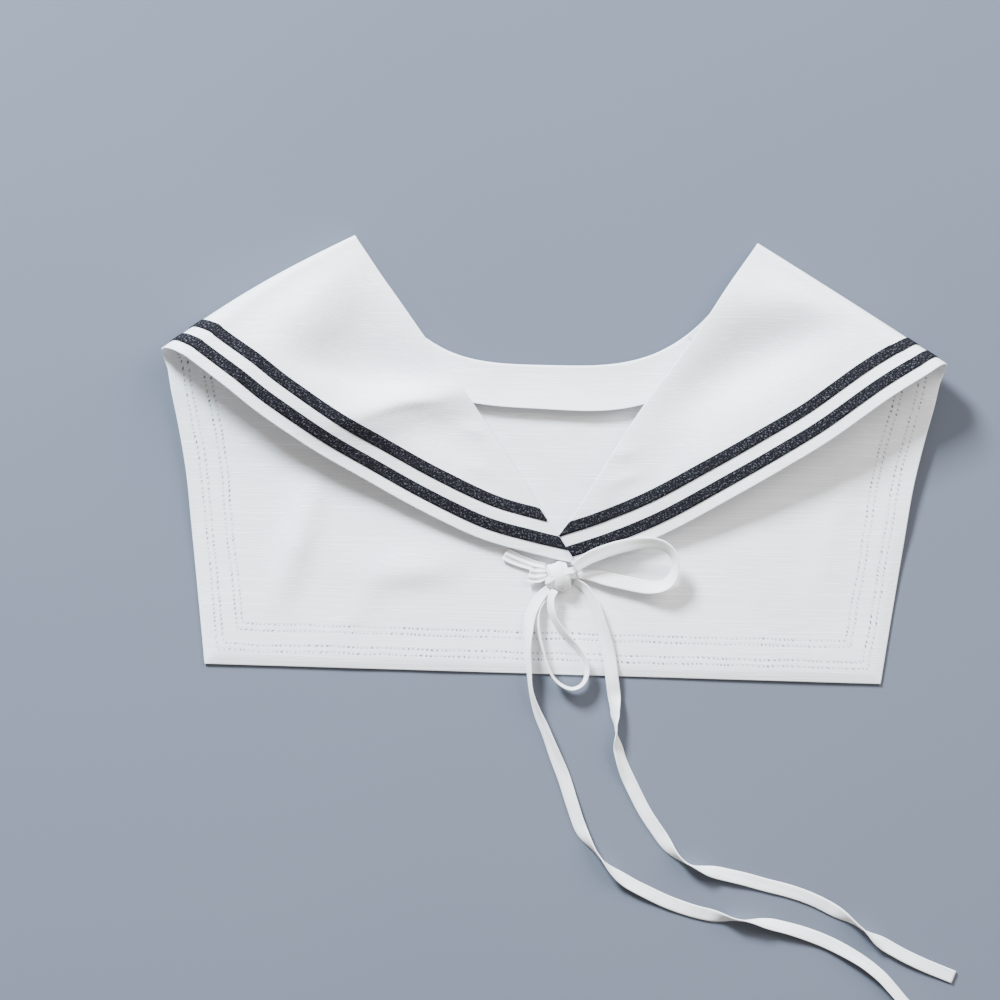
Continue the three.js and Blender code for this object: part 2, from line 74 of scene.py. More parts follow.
BAND_SAG_SPREAD = 0.3
BAND_END_DIP = 0.25
TIE_WIDTH = 0.0065
TIE = 0.0012
TIE_DROP = 0.016

FLAP_LEVEL = TAPE + CLEARANCE + CLOTH / 2
FLAP_TOP = FLAP_LEVEL + CLOTH / 2
BAND_RISE = CLOTH + CLEARANCE
LOWER_TIP_RISE = CLOTH + TIE + 2 * CLEARANCE
UPPER_TIP_RISE = LOWER_TIP_RISE + CLOTH + TAPE + 2 * CLEARANCE
NECK_RISE = NECK_FOLD - CLOTH
SHOULDER_RISE = SHOULDER_FOLD - CLOTH
NECK_Y = COLLAR_LENGTH / 2

# What is sewn thinner than the solids that stand for it
REAL_CLOTH = 0.0009
REAL_TAPE = 0.0005
REAL_BAND = 0.0008
TAPE_GAP = 0.00004

# The flap's edge hangs down past its outer tape, where the flap lies on the table
HEM_DROOP = 0.0011
HEM_DROOP_INSET = 0.0008
HEM_DROOP_LIMIT = 0.0015

# Each front's folds to the tip: along, inner bow, hem bow, neck lift, hem lift, hollow, ridge
LEFT_FRONT = [
    (0.11, 0.001, 0.018, 0.15, 0.93, 0.03, 0.0),
    (0.21, -0.001, 0.037, 0.35, 0.8, 0.09, 0.03),
    (0.35, -0.003, 0.052, 0.55, 0.6, 0.11, 0.09),
    (0.48, -0.008, 0.056, 0.55, 0.42, 0.05, 0.13),
    (0.62, -0.009, 0.059, 0.3, 0.28, 0.0, 0.1),
    (0.77, -0.005, 0.053, 0.1, 0.14, 0.0, 0.05),
    (0.89, -0.001, 0.029, 0.0, 0.05, 0.0, 0.01),
    (1.0, 0.0, 0.0, 0.0, 0.0, 0.0, 0.0),
]
RIGHT_FRONT = [
    (0.12, -0.001, 0.007, 0.1, 0.92, 0.02, 0.0),
    (0.29, 0.001, 0.027, 0.2, 0.7, 0.07, 0.03),
    (0.43, -0.002, 0.033, 0.25, 0.52, 0.05, 0.05),
    (0.58, -0.008, 0.035, 0.2, 0.38, 0.0, 0.06),
    (0.75, -0.003, 0.034, 0.1, 0.12, 0.0, 0.04),
    (0.89, 0.003, 0.02, 0.0, 0.02, 0.0, 0.01),
    (1.0, 0.0, 0.0, 0.0, 0.0, 0.0, 0.0),
]
HOLLOW_PLACE = 0.3
RIDGE_PLACE = 0.62
FOLD_SPREAD = 0.2
CURL_POWER = 2.5

# The flap's side edge: along, neck share, bow, curl
FLAP_SIDE = [
    (0.08, 0.12, 0.003, 0.92),
    (0.2, 0.26, 0.012, 0.68),
    (0.36, 0.42, 0.018, 0.36),
    (0.54, 0.58, 0.013, 0.12),
    (0.72, 0.74, 0.008, 0.02),
    (0.87, 0.88, 0.004, 0.0),
    (1.0, 1.0, 0.0, 0.0),
]
LEFT = {
    "sign": -1, "front": LEFT_FRONT, "tip_rise": LOWER_TIP_RISE, "tip_edge": LOWER_LAPEL_END,
    "neckline": 3.6, "crest_bow": 0.003, "hem_turn": 0.6, "neck_curl": 0.0025,
}
RIGHT = {
    "sign": 1, "front": RIGHT_FRONT, "tip_rise": UPPER_TIP_RISE, "tip_edge": UPPER_LAPEL_END,
    "neckline": 3.2, "crest_bow": 0.0005, "hem_turn": 0.4, "neck_curl": 0.0034,
}

# Middle lines of the ties from the point of the V, as the part's source has them
TIE_STRANDS = {
    "tie_root": [
        (-0.0263, -0.0098, 0.0004), (-0.0228, -0.0117, 0.0004), (-0.0177, -0.0138, 0.0002),
        (-0.0122, -0.0156, 0), (-0.006, -0.0169, 0),
    ],
    "bow_end": [
        (-0.0051, -0.0196, 0.002), (-0.0086, -0.02, 0.002), (-0.0116, -0.0201, 0.0019),
        (-0.0141, -0.0196, 0.0018),
    ],
    "bow_loop_right": [
        (0.0083, -0.0164, 0.0059), (0.0152, -0.0116, 0.0068), (0.0232, -0.008, 0.0072),
        (0.0311, -0.0054, 0.0076), (0.0396, -0.0036, 0.008), (0.0471, -0.0032, 0.0082),
        (0.0531, -0.0049, 0.0074), (0.0572, -0.0086, 0.006), (0.0588, -0.0141, 0.0044),
        (0.0574, -0.0201, 0.0032), (0.053, -0.0244, 0.0022), (0.0465, -0.0253, 0.0016),
        (0.0395, -0.0244, 0.0014), (0.0315, -0.0229, 0.0014), (0.0244, -0.0215, 0.0015),
        (0.0174, -0.0201, 0.0016), (0.0088, -0.0194, 0.0016),
    ],
    "bow_loop_lower": [
        (-0.001, -0.0276, 0.0035), (-0.0029, -0.0318, 0.0035), (-0.0027, -0.0378, 0.003),
        (-0.0001, -0.0437, 0.0022), (0.0045, -0.0497, 0.0014), (0.0101, -0.0555, 0.0008),
        (0.0142, -0.0615, 0.0006), (0.0159, -0.0679, 0), (0.014, -0.074, 0), (0.0091, -0.0768, 0.0003),
        (0.0035, -0.0752, 0), (-0.0011, -0.0708, 0), (-0.0042, -0.0638, 0), (-0.0069, -0.0559, 0),
        (-0.009, -0.0479, 0), (-0.0097, -0.0399, 0), (-0.0073, -0.0329, 0), (-0.0032, -0.0274, 0),
    ],
    "tie_tail_left": [
        (-0.0026, -0.0259, 0.0017), (-0.0072, -0.0299, 0.0017), (-0.0108, -0.035, 0.0017),
        (-0.0132, -0.041, 0.0017), (-0.014, -0.049, 0.0016), (-0.014, -0.058, 0.0009),
        (-0.0131, -0.068, 0.0001), (-0.0119, -0.078, 0), (-0.0087, -0.0884, 0), (-0.004, -0.0988, 0),
        (0.0007, -0.1102, 0), (0.0055, -0.1216, 0), (0.0097, -0.1341, 0), (0.0145, -0.147, 0),
        (0.0201, -0.1554, 0), (0.0278, -0.1647, 0), (0.037, -0.172, 0), (0.0481, -0.1778, 0),
        (0.0602, -0.1831, 0), (0.0748, -0.1875, 0), (0.0929, -0.1904, 0), (0.1049, -0.1915, 0),
        (0.1199, -0.1946, 0), (0.134, -0.1991, 0), (0.1451, -0.2039, 0), (0.1563, -0.2101, 0),
        (0.1654, -0.217, 0), (0.1715, -0.2233, 0), (0.1772, -0.2297, 0), (0.1828, -0.2351, 0),
        (0.1884, -0.24, 0),
    ],
    "tie_tail_right": [
        (0.0086, -0.0229, 0), (0.0136, -0.026, 0), (0.0177, -0.0319, 0), (0.0208, -0.0393, 0),
        (0.024, -0.0488, 0), (0.0267, -0.0597, 0), (0.0284, -0.0712, 0), (0.0299, -0.0821, 0),
        (0.0306, -0.0931, 0), (0.0321, -0.1056, 0), (0.0353, -0.116, 0), (0.04, -0.126, 0),
        (0.0463, -0.1378, 0), (0.0535, -0.1482, 0), (0.0602, -0.1571, 0), (0.0678, -0.1629, 0),
        (0.0759, -0.1657, 0), (0.0854, -0.1678, 0), (0.097, -0.1703, 0), (0.107, -0.1729, 0),
        (0.1196, -0.1759, 0), (0.1306, -0.1796, 0), (0.1407, -0.1844, 0), (0.1509, -0.1902, 0),
        (0.1625, -0.1985, 0), (0.1742, -0.2053, 0), (0.1863, -0.211, 0), (0.2022, -0.2172, 0),
    ],
}

# How each strand is turned over on its way: share of its length and degrees from lying flat
TIE_TURNS = {
    "tie_root": [(0, 6), (1, -10)],
    "bow_end": [(0, 8), (1, -6)],
    "bow_loop_right": [(0, 12), (0.2, 14), (0.36, 34), (0.5, 62), (0.6, 46), (0.75, 16), (1, 6)],
    "bow_loop_lower": [
        (0, 34), (0.12, 58), (0.36, 66), (0.5, 78), (0.62, 82), (0.78, 104), (0.9, 118), (1, 164),
    ],
    "tie_tail_left": [
        (0, 10), (0.05, 30), (0.12, 66), (0.16, 76), (0.23, 45), (0.31, 8), (0.38, 18), (0.435, 84),
        (0.5, 158), (0.56, 176), (0.62, 192), (0.672, 262), (0.73, 330), (0.8, 352), (0.88, 330),
        (1, 318),
    ],
    "tie_tail_right": [
        (0, 40), (0.07, 42), (0.15, 12), (0.2, 8), (0.235, 48), (0.26, 84), (0.3, 140), (0.36, 176),
        (0.45, 190), (0.52, 266), (0.58, 344), (0.65, 358), (0.76, 372), (0.825, 444), (0.88, 524),
        (1, 540),
    ],
}
# How wide each strand is, share of its length and width, and how many pleats run along it
TIE_WIDTHS = {
    "tie_root": [(0, 0.0066), (1, 0.0048)],
    "bow_end": [(0, 0.0056), (0.5, 0.0084), (1, 0.0092)],
    "bow_loop_right": [
        (0, 0.0058), (0.12, 0.0070), (0.4, 0.0066), (0.62, 0.0076), (0.84, 0.0072), (1, 0.0044),
    ],
    "bow_loop_lower": [(0, 0.0042), (0.12, 0.0058), (0.5, 0.0052), (0.85, 0.0056), (1, 0.0042)],
    "tie_tail_left": [(0, 0.0042), (0.05, 0.0065), (1, 0.0065)],
    "tie_tail_right": [(0, 0.0042), (0.06, 0.0065), (1, 0.0065)],
}
TIE_PLEATS = {"tie_root": 2, "bow_end": 3}
TIE_PLEAT_HEIGHT = 0.0005
TIE_CUP = 0.0003
TIE_CUP_PACE = 60
TIE_CUP_LAYER = 2.2
TIE_WAIST = 0.3
TIE_WAIST_PLACE = 1.25
TIE_HALF_WALL = TIE * 0.42

# The knot from the point of the V: its place, its size, and the share of its core in that size
KNOT_PLACE = (0.0016, -0.0206)
KNOT_SIZE = (0.0128, 0.0116, 0.0068)
KNOT_CORE = (0.46, 0.42, 0.4)
KNOT_PLEATS = 7
KNOT_PLEAT_HEIGHT = 0.06
KNOT_TWIST = 2.5
KNOT_UNEVEN_PACE = 3
KNOT_STEPS = 24
# The turns of strip over the knot: where the start, the crown and the end lie, width, crown's rise
KNOT_WRAPS = [
    ((-0.0060, -0.0034), (0.0006, 0.0004), (0.0064, 0.0018), 0.0058, 0.0034),
    ((-0.0056, 0.0040), (-0.0040, 0.0002), (-0.0034, -0.0050), 0.0040, 0.0024),
    ((-0.0012, 0.0056), (0.0004, 0.0), (0.0014, -0.0058), 0.0082, 0.0037),
]
WRAP_STEPS = 40
WRAP_LENGTH = 0.012
WRAP_SHOULDER = 0.86
WRAP_SHOULDER_RISE = 0.45
WRAP_END_DEPTH = 0.32
WRAP_CROWN = 0.0012
WRAP_PLEATS = 2
WRAP_PLEAT_HEIGHT = 0.0002
WRAP_WANDER = 0.0008
WRAP_UNEVEN = 0.35
WRAP_UNEVEN_PACE = (0.06, 1.2, 900)
WRAP_LEAN = 0.5
WRAP_UPRIGHT = 0.004
WRAP_LOWER_CROWN = 0.4
WRAP_UPPER_WALL = 0.0005
WRAP_LOWER_WALL = 0.0006

# Soft folds: layer, place x and y, degrees, half length, half widths left and right, height
SOFT_FOLDS = [
    ("front", -0.125, 0.068, 46, 0.032, 0.014, 0.021, 0.0058),
    ("front", -0.096, 0.0405, -12, 0.028, 0.015, 0.008, -0.0041),
    ("front", -0.0755, 0.0240, 15, 0.021, 0.008, 0.0022, 0.0024),
    ("front", -0.0735, 0.0245, 13, 0.030, 0.009, 0.0100, 0.0064),
    ("front", -0.040, 0.013, -10, 0.006, 0.003, 0.003, 0.0008),
    ("front", -0.037, -0.006, -14, 0.008, 0.004, 0.004, 0.0008),
    ("front", -0.120, 0.027, -42, 0.030, 0.011, 0.016, 0.0052),
    ("front", 0.106, 0.053, 29, 0.042, 0.015, 0.012, -0.0056),
    ("front", 0.114, 0.080, -6, 0.032, 0.012, 0.016, 0.0044),
    ("front", 0.034, 0.003, 8, 0.008, 0.0025, 0.0025, 0.0007),
    ("front", 0.038, -0.009, 16, 0.009, 0.003, 0.003, 0.0007),
    ("flap", -0.126, -0.043, 76, 0.030, 0.009, 0.008, 0.0032),
    ("flap", -0.066, -0.058, 4, 0.026, 0.011, 0.007, 0.0025),
    ("flap", -0.096, -0.076, 50, 0.022, 0.008, 0.008, 0.0008),
    ("flap", 0.108, -0.058, -72, 0.040, 0.010, 0.010, 0.0008),
    ("flap", 0.142, -0.030, 76, 0.038, 0.008, 0.008, 0.0008),
]
FOLD_REACH = 3

# Fine ripples all over the cloth: how close, and how strong
RIPPLES = [(19, 0.5), (47, 0.22), (120, 0.06)]
FRONT_RIPPLE = 0.0012
FLAP_RIPPLE = 0.0011
FLAP_RIPPLE_BASE = 0.5
FRONT_RIPPLE_LAYER = 0.31

# The flap lies flat under the bow, up to the first of these shares of its reach
BOW_MIDDLE = (0.018, -0.075)
BOW_REACH = (0.06, 0.05)
BOW_CLEAR = (0.8, 1.5)

# The neck edge of each front stands up, most between these shares of its length
NECK_CURL_REACH = 0.017
NECK_CURL_FROM = 0.2
NECK_CURL_TO = 0.7

# Where the photo's middle and width lie on the table, and the camera over it
PHOTO_WIDTH = 0.5
PHOTO_MIDDLE = (-0.0255, -0.0213)
PHOTO_TURN = math.radians(1.15)
EYE_HEIGHT = 2.0
FILM_WIDTH = 36
FARTHEST_SEEN = 20


def set_up_camera():
    data = bpy.data.cameras.new("camera")
    data.sensor_width = FILM_WIDTH
    data.lens = data.sensor_width * EYE_HEIGHT / PHOTO_WIDTH
    data.clip_end = FARTHEST_SEEN
    camera = bpy.data.objects.new("camera", data)
    camera.location = (*PHOTO_MIDDLE, EYE_HEIGHT)
    camera.rotation_euler = (0, 0, PHOTO_TURN)
    bpy.context.collection.objects.link(camera)
    bpy.context.scene.camera = camera


set_up_camera()


# Making closed skins from rings of points

def smooth_curve(values, places):
    """Catmull-Rom values at places from 0 to 1 along a list of rows of numbers."""
    runs = len(values) - 1
    found = []
    for place in places:
        spot = place * runs
        k = min(int(spot), runs - 1)
        f = spot - k
        a, b, c, d = (values[min(max(k + i, 0), runs)] for i in (-1, 0, 1, 2))
        found.append([
            v * (1 + 2 * f) * (1 - f) ** 2 + (w - u) / 2 * f * (1 - f) ** 2
            + w * f * f * (3 - 2 * f) + (x - v) / 2 * f * f * (f - 1)
            for u, v, w, x in zip(a, b, c, d)
        ])
    return found


WELD = 0.000002


def closed_skin(name, rings, laid_flat, material):
    """Joins rings of points into one closed skin; laid_flat has their places on the flat cloth."""
    count = len(rings[0])
    points = [p for ring in rings for p in ring]
    flat = [p for ring in laid_flat for p in ring]
    faces = []
    for k in range(len(rings) - 1):
        for j in range(count):
            a, b = k * count + j, k * count + (j + 1) % count
            faces.append((a, b, b + count, a + count))
    faces.append(tuple(reversed(range(count))))
    faces.append(tuple(len(points) - count + j for j in range(count)))
    mesh = bpy.data.meshes.new(name)
    mesh.from_pydata(points, [], faces)
    layer = mesh.uv_layers.new(name="flat")
    for loop in mesh.loops:
        layer.data[loop.index].uv = flat[loop.vertex_index]
    work = bmesh.new()
    work.from_mesh(mesh)
    bmesh.ops.remove_doubles(work, verts=work.verts, dist=WELD)
    bmesh.ops.dissolve_degenerate(work, edges=work.edges, dist=WELD / 4)
    bmesh.ops.recalc_face_normals(work, faces=work.faces)
    for face in work.faces:
        face.smooth = True
    work.to_mesh(mesh)
    work.free()
    piece = bpy.data.objects.new(name, mesh)
    bpy.context.collection.objects.link(piece)
    mesh.materials.append(material)
    return piece


def round_trip(upper, lower):
    """One ring: along the upper side and back along the lower one."""
    return upper + lower[-2:0:-1]


def shares_across(edges, steps):
    """Shares from 0 to 1 across a strip, closer together at both of its edges."""
    first, last = edges[-1], 1 - edges[-1]
    inner = [first + (last - first) * j / steps for j in range(steps + 1)]
    return edges[:-1] + inner + [1 - e for e in reversed(edges[:-1])]


# The cloth's shape: rows that cross it from the neck edge to the hem

def plan(x, y):
    return Vector((x, y))


def layout(side):
    sign = side["sign"]
    neck = plan(sign * NECK_WIDTH / 2, NECK_Y)
    shoulder = plan(sign * SHOULDER_WIDTH / 2, NECK_Y - SHOULDER_DROP)
    corner = plan(HEM_SHIFT + sign * HEM_WIDTH / 2, -COLLAR_LENGTH / 2 + (HEM_SKEW if sign < 0 else 0))
    crest = (shoulder - neck).normalized()
    return neck, shoulder, corner, crest, plan(-sign * crest.y, sign * crest.x)


def point_of_the_v():
    return plan(POINT_OFFSET, NECK_Y - LAPEL_DROP)


def make_row(inner, hem, inner_rise, hem_rise, curl, hollow, ridge, bow):
    return [*inner, *hem, inner_rise, hem_rise, curl, hollow, ridge, *bow]


def bump(t, place):
    return math.exp(-(((t - place) / FOLD_SPREAD) ** 2))


def point_on_row(row, t):
    ix, iy, hx, hy, inner_rise, hem_rise, curl, hollow, ridge, bx, by = row
    swell = math.sin(math.pi * t)
    rise = inner_rise * (1 - t) + (hem_rise - curl) * t + curl * t ** CURL_POWER
    relief = ridge * bump(t, RIDGE_PLACE) - hollow * bump(t, HOLLOW_PLACE)
    x = ix + (hx - ix) * t + bx * swell
    y = iy + (hy - iy) * t + by * swell
    return Vector((x, y, FLAP_LEVEL + rise + relief))


def fold_row(side, degrees):
    neck, shoulder, _, crest, outward = layout(side)
    turn = math.radians(degrees)
    neck_radius = NECK_RISE / 2
    shoulder_radius = SHOULDER_RISE / 2
    set_back = math.cos(turn) - 1
    inner = neck + outward * (neck_radius * set_back - CLOTH / 2)
    hem = shoulder + outward * (shoulder_radius * set_back - CLOTH / 2)
    hem -= crest * (side["hem_turn"] if turn > 0 else HEM_TURN) * turn * shoulder_radius
    height = 1 + math.sin(turn)
    hem_rise = shoulder_radius * height + SIDE_LIFT
    bow = outward * side["crest_bow"]
    return make_row(inner, hem, neck_radius * height, hem_rise, SIDE_LIFT, 0, 0, bow)


def bowed(start, end, share, bow, sign):
    edge = end - start
    out = plan(-edge.y, edge.x)
    if out.x * sign < 0:
        out.negate()
    return start + edge * share + out * bow


def front_row(side, fold, start):
    along, inner_bow, hem_bow, neck_lift, hem_lift, hollow, ridge = fold
    sign = side["sign"]
    tip_inner = point_of_the_v()
    tip_hem = tip_inner + plan(math.cos(LAPEL_END_TURN), math.sin(LAPEL_END_TURN)) * side["tip_edge"]
    if sign < 0:
        run = (tip_inner - plan(start[0], start[1])).normalized()
        tip_inner += run * UNDERLAP
        tip_hem += run * UNDERLAP_HEM
    inner = bowed(plan(start[0], start[1]), tip_inner, along, inner_bow, sign)
    hem = bowed(plan(start[2], start[3]), tip_hem, along, hem_bow, sign)
    rest = NECK_RISE + (side["tip_rise"] - NECK_RISE) * along
    top = SHOULDER_RISE + SIDE_LIFT
    hem_rise = side["tip_rise"] + (top - side["tip_rise"]) * hem_lift
    relief = SHOULDER_FOLD + SIDE_LIFT
    bow = layout(side)[4] * side["crest_bow"] * (1 - along) ** 3
    inner_rise = rest + neck_lift * (BAND_RISE + BAND_LIFT)
    curl = SIDE_LIFT * (1 - along) ** 2
    return make_row(inner, hem, inner_rise, hem_rise, curl, hollow * relief, ridge * relief, bow)


def neckline_point(side, across):
    drop = NECKLINE_DROP * (1 - abs(across) ** side["neckline"])
    return plan(side["sign"] * abs(across) * NECK_WIDTH / 2, NECK_Y - drop)


def neckline_at(across):
    return neckline_point(LEFT if across < 0 else RIGHT, across)


def corner_across(side):
    _, shoulder, corner, _, _ = layout(side)
    inwards = plan(-side["sign"], 0) + (shoulder - corner).normalized()
    reach = (NECK_Y - NECKLINE_DROP - corner.y) / inwards.y
    return abs(corner.x + inwards.x * reach) / (NECK_WIDTH / 2)


def flap_side_row(side, place, start):
    along, neck_share, side_bow, curl = place
    sign = side["sign"]
    _, _, corner, _, outward = layout(side)
    hem = bowed(plan(start[2], start[3]), corner, along, side_bow, -sign)
    start_across = abs(start[0]) / (NECK_WIDTH / 2)
    across = start_across + (corner_across(side) - start_across) * neck_share
    curl *= SIDE_LIFT
    bow = outward * side["crest_bow"] * (1 - along) ** 4
    return make_row(neckline_point(side, across), hem, 0, curl, curl, 0, 0, bow)


FRONT_STEPS = 84
FOLD_STEPS = 18
SIDE_STEPS = 56
BOTTOM_STEPS = 124
CROSS_STEPS = 60
TIP_EDGE = (0.0006, 0.002, 0.0045)
# Degrees round a shoulder fold: from the flap, at minus the top turn, to the front, at plus it
TOP_TURN = 90
LEAD_TURN = 60
CREST_CALM = 8
NEARBY = 0.01
NEAR_HEM = 0.01
HEM_CALM = 0.5
HEM_CALM_FROM = 0.9


def places_after_lead(count, runs, close=()):
    """Even places on the stretch after the lead-in row, with a few more close to its far end."""
    shares = [i / count for i in range(count + 1)] + [1 - c for c in close]
    return [(1 + (runs - 1) * share) / runs for share in sorted(shares)]


def side_rows(side):
    top = fold_row(side, TOP_TURN)
    chosen = [fold_row(side, LEAD_TURN), top] + [front_row(side, fold, top) for fold in side["front"]]
    front = smooth_curve(chosen, places_after_lead(FRONT_STEPS, len(chosen) - 1, TIP_EDGE))
    roll = [fold_row(side, TOP_TURN - 2 * TOP_TURN * i / FOLD_STEPS) for i in range(1, FOLD_STEPS)]
    bottom = fold_row(side, -TOP_TURN)
    chosen = [fold_row(side, -LEAD_TURN), bottom]
    chosen += [flap_side_row(side, place, bottom) for place in FLAP_SIDE]
    flap = smooth_curve(chosen, places_after_lead(SIDE_STEPS, len(chosen) - 1))
    return front[::-1] + roll + flap, len(front)


def collar_rows():
    left, front_count = side_rows(LEFT)
    right = side_rows(RIGHT)[0][::-1]
    start, end = left[-1], right[0]
    bottom = []
    for i in range(1, BOTTOM_STEPS):
        share = i / BOTTOM_STEPS
        row = [a + (b - a) * share for a, b in zip(start, end)]
        row[0], row[1] = neckline_at(row[0] / (NECK_WIDTH / 2))
        bottom.append(row)
    corners = (len(left) - 1, len(left) + len(bottom))
    return left + bottom + right, corners, front_count


ROWS, CORNERS, FRONT_ROWS = collar_rows()
LAST = len(ROWS) - 1


def cloth_normal(k, t):
    before = point_on_row(ROWS[max(k - 1, 0)], t)
    after = point_on_row(ROWS[min(k + 1, LAST)], t)
    near = point_on_row(ROWS[k], max(t - NEARBY, 0))
    far = point_on_row(ROWS[k], min(t + NEARBY, 1))
    return (after - before).cross(far - near).normalized()


def fade(value, start, end):
    share = min(max((value - start) / (end - start), 0), 1)
    return share * share * (3 - 2 * share)


def cloth_relief(point, k):
    """How far soft folds and ripples push the cloth up here; nothing in the shoulder folds."""
    from_tip = min(k, LAST - k)
    front = from_tip < FRONT_ROWS
    if front:
        calm = fade(FRONT_ROWS - from_tip, 0, CREST_CALM)
    else:
        calm = fade(from_tip - FRONT_ROWS - FOLD_STEPS, 0, CREST_CALM)
    layer = "front" if front else "flap"
    rise = 0
    for where, x, y, turn, half_length, left_width, right_width, height in SOFT_FOLDS:
        if where != layer:
            continue
        lean = math.radians(turn)
        dx, dy = point.x - x, point.y - y
        run = (dx * math.cos(lean) + dy * math.sin(lean)) / half_length
        off = dy * math.cos(lean) - dx * math.sin(lean)
        off /= left_width if off > 0 else right_width
        if abs(run) < FOLD_REACH and abs(off) < FOLD_REACH:
            rise += height * math.exp(-run * run - off * off)
    spot = Vector((point.x, point.y, FRONT_RIPPLE_LAYER if front else 0.0))
    ripple = sum(noise.noise(spot * pace) * strength for pace, strength in RIPPLES)
    if front:
        return (rise + ripple * FRONT_RIPPLE) * calm
    aside = (point.x - BOW_MIDDLE[0]) / BOW_REACH[0]
    below = (point.y - BOW_MIDDLE[1]) / BOW_REACH[1]
    clear = fade(math.hypot(aside, below), *BOW_CLEAR)
    return (rise + (ripple + FLAP_RIPPLE_BASE) * FLAP_RIPPLE) * clear * calm


def neck_curl(k, t):
    """How far a front's neck edge stands up."""
    side = LEFT if k < FRONT_ROWS else RIGHT
    place = min(k, LAST - k) / FRONT_ROWS
    if place > 1:
        return 0
    inside = t * row_length(k) / NECK_CURL_REACH
    along = fade(place, 0, NECK_CURL_FROM) * (1 - fade(place, NECK_CURL_TO, 1))
    return side["neck_curl"] * math.exp(-inside * inside) * along


def hem_droop(k, t):
    """How far the flap's edge, past its outer tape, hangs down to the table."""
    if k < FRONT_ROWS or k > LAST - FRONT_ROWS:
        return 0
    inside = (1 - t) * SCALES[k]
    lifted = point_on_row(ROWS[k], 1).z - FLAP_LEVEL
    past_tape = 1 - fade(inside, 0, HEM_MARGIN - HEM_DROOP_INSET)
    return HEM_DROOP * past_tape * (1 - fade(lifted, 0, HEM_DROOP_LIMIT))


def cloth_point(k, t, out):
    """A point on the cloth, out metres from its middle towards its outside."""
    base = point_on_row(ROWS[k], t)
    normal = cloth_normal(k, t)
    relief = cloth_relief(base, k) * (1 - HEM_CALM * fade(t, HEM_CALM_FROM, 1))
    up = 1 if normal.z > 0 else -1
    level = Vector((0, 0, neck_curl(k, t) - hem_droop(k, t)))
    return base + normal * (out + up * relief * abs(normal.z)) + level


def row_length(k):
    return (point_on_row(ROWS[k], 1) - point_on_row(ROWS[k], 0)).length


def hem_scale(k):
    """What one whole row crosses, measured square to the hem."""
    ahead = k if k in CORNERS else min(k + 1, LAST)
    along = (point_on_row(ROWS[ahead], 1) - point_on_row(ROWS[max(k - 1, 0)], 1)).normalized()
    across = (point_on_row(ROWS[k], 1) - point_on_row(ROWS[k], 1 - NEAR_HEM)) / NEAR_HEM
    return across.cross(along).length


def hem_runs():
    run = 0
    runs = []
    for k in range(LAST + 1):
        if k:
            run += (point_on_row(ROWS[k], 1) - point_on_row(ROWS[k - 1], 1)).length
        runs.append(run)
    return runs


RUNS = hem_runs()
SCALES = [hem_scale(k) for k in range(LAST + 1)]
SOFT_EDGE = (0, 0.00012, 0.0003, 0.0007)
TAPE_ACROSS = (0, 0.03, 0.1, 0.3, 0.5, 0.7, 0.9, 0.97, 1)
TAPE_START = 0.0005
NARROWEST_TAPE = 0.0004
BAND_STEPS = 150
BAND_LENGTH = 0.16
BAND_CROSS_STEPS = 16
BAND_EDGE = [0, 0.004, 0.012, 0.03]
BAND_RIPPLE = 0.0005
BAND_RIPPLE_PACE = 26
BAND_RIPPLE_LAYER = 4.4


def edge_thickness(distance, radius):
    inside = max(1 - distance / radius, 0)
    return math.sqrt(max(1 - inside * inside, 0))


def make_cloth(material):
    rings, flat = [], []
    half = REAL_CLOTH / 2
    for k in range(LAST + 1):
        length = row_length(k)
        shares = shares_across([e / length for e in SOFT_EDGE], CROSS_STEPS)
        from_tip = min(RUNS[k], RUNS[-1] - RUNS[k])
        tip = edge_thickness(from_tip, half)
        upper, lower, places = [], [], []
        for t in shares:
            thick = half * tip * edge_thickness(min(t, 1 - t) * length, half)
            upper.append(cloth_point(k, t, thick))
            lower.append(cloth_point(k, t, -thick))
            places.append((RUNS[k], (1 - t) * SCALES[k]))
        rings.append(round_trip(upper, lower))
        flat.append(round_trip(places, places))
    return closed_skin("collar_cloth", rings, flat, material)


def make_tape(name, distance, material):
    """A woven tape, sewn on at one distance inside the hem all the way round."""
    rings, flat = [], []
    half = REAL_TAPE / 2
    middle = REAL_CLOTH / 2 + TAPE_GAP + half
    for k in range(LAST + 1):
        length = row_length(k)
        outer = 1 - distance / SCALES[k]
        inner = 1 - (distance + TAPE_WIDTH) / SCALES[k]
        cut = max(inner, TAPE_START / length)
        if (outer - cut) * length < NARROWEST_TAPE:
            continue
        upper, lower, places = [], [], []
        for share in TAPE_ACROSS:
            t = cut + (outer - cut) * share
            rim = edge_thickness(min(share, 1 - share) * (outer - cut) * length, half * 2)
            upper.append(cloth_point(k, t, middle + half * rim))
            lower.append(cloth_point(k, t, middle - half * rim))
            places.append((RUNS[k], (1 - t) * SCALES[k] - distance))
        rings.append(round_trip(upper, lower))
        flat.append(round_trip(places, places))
    return closed_skin(name, rings, flat, material)


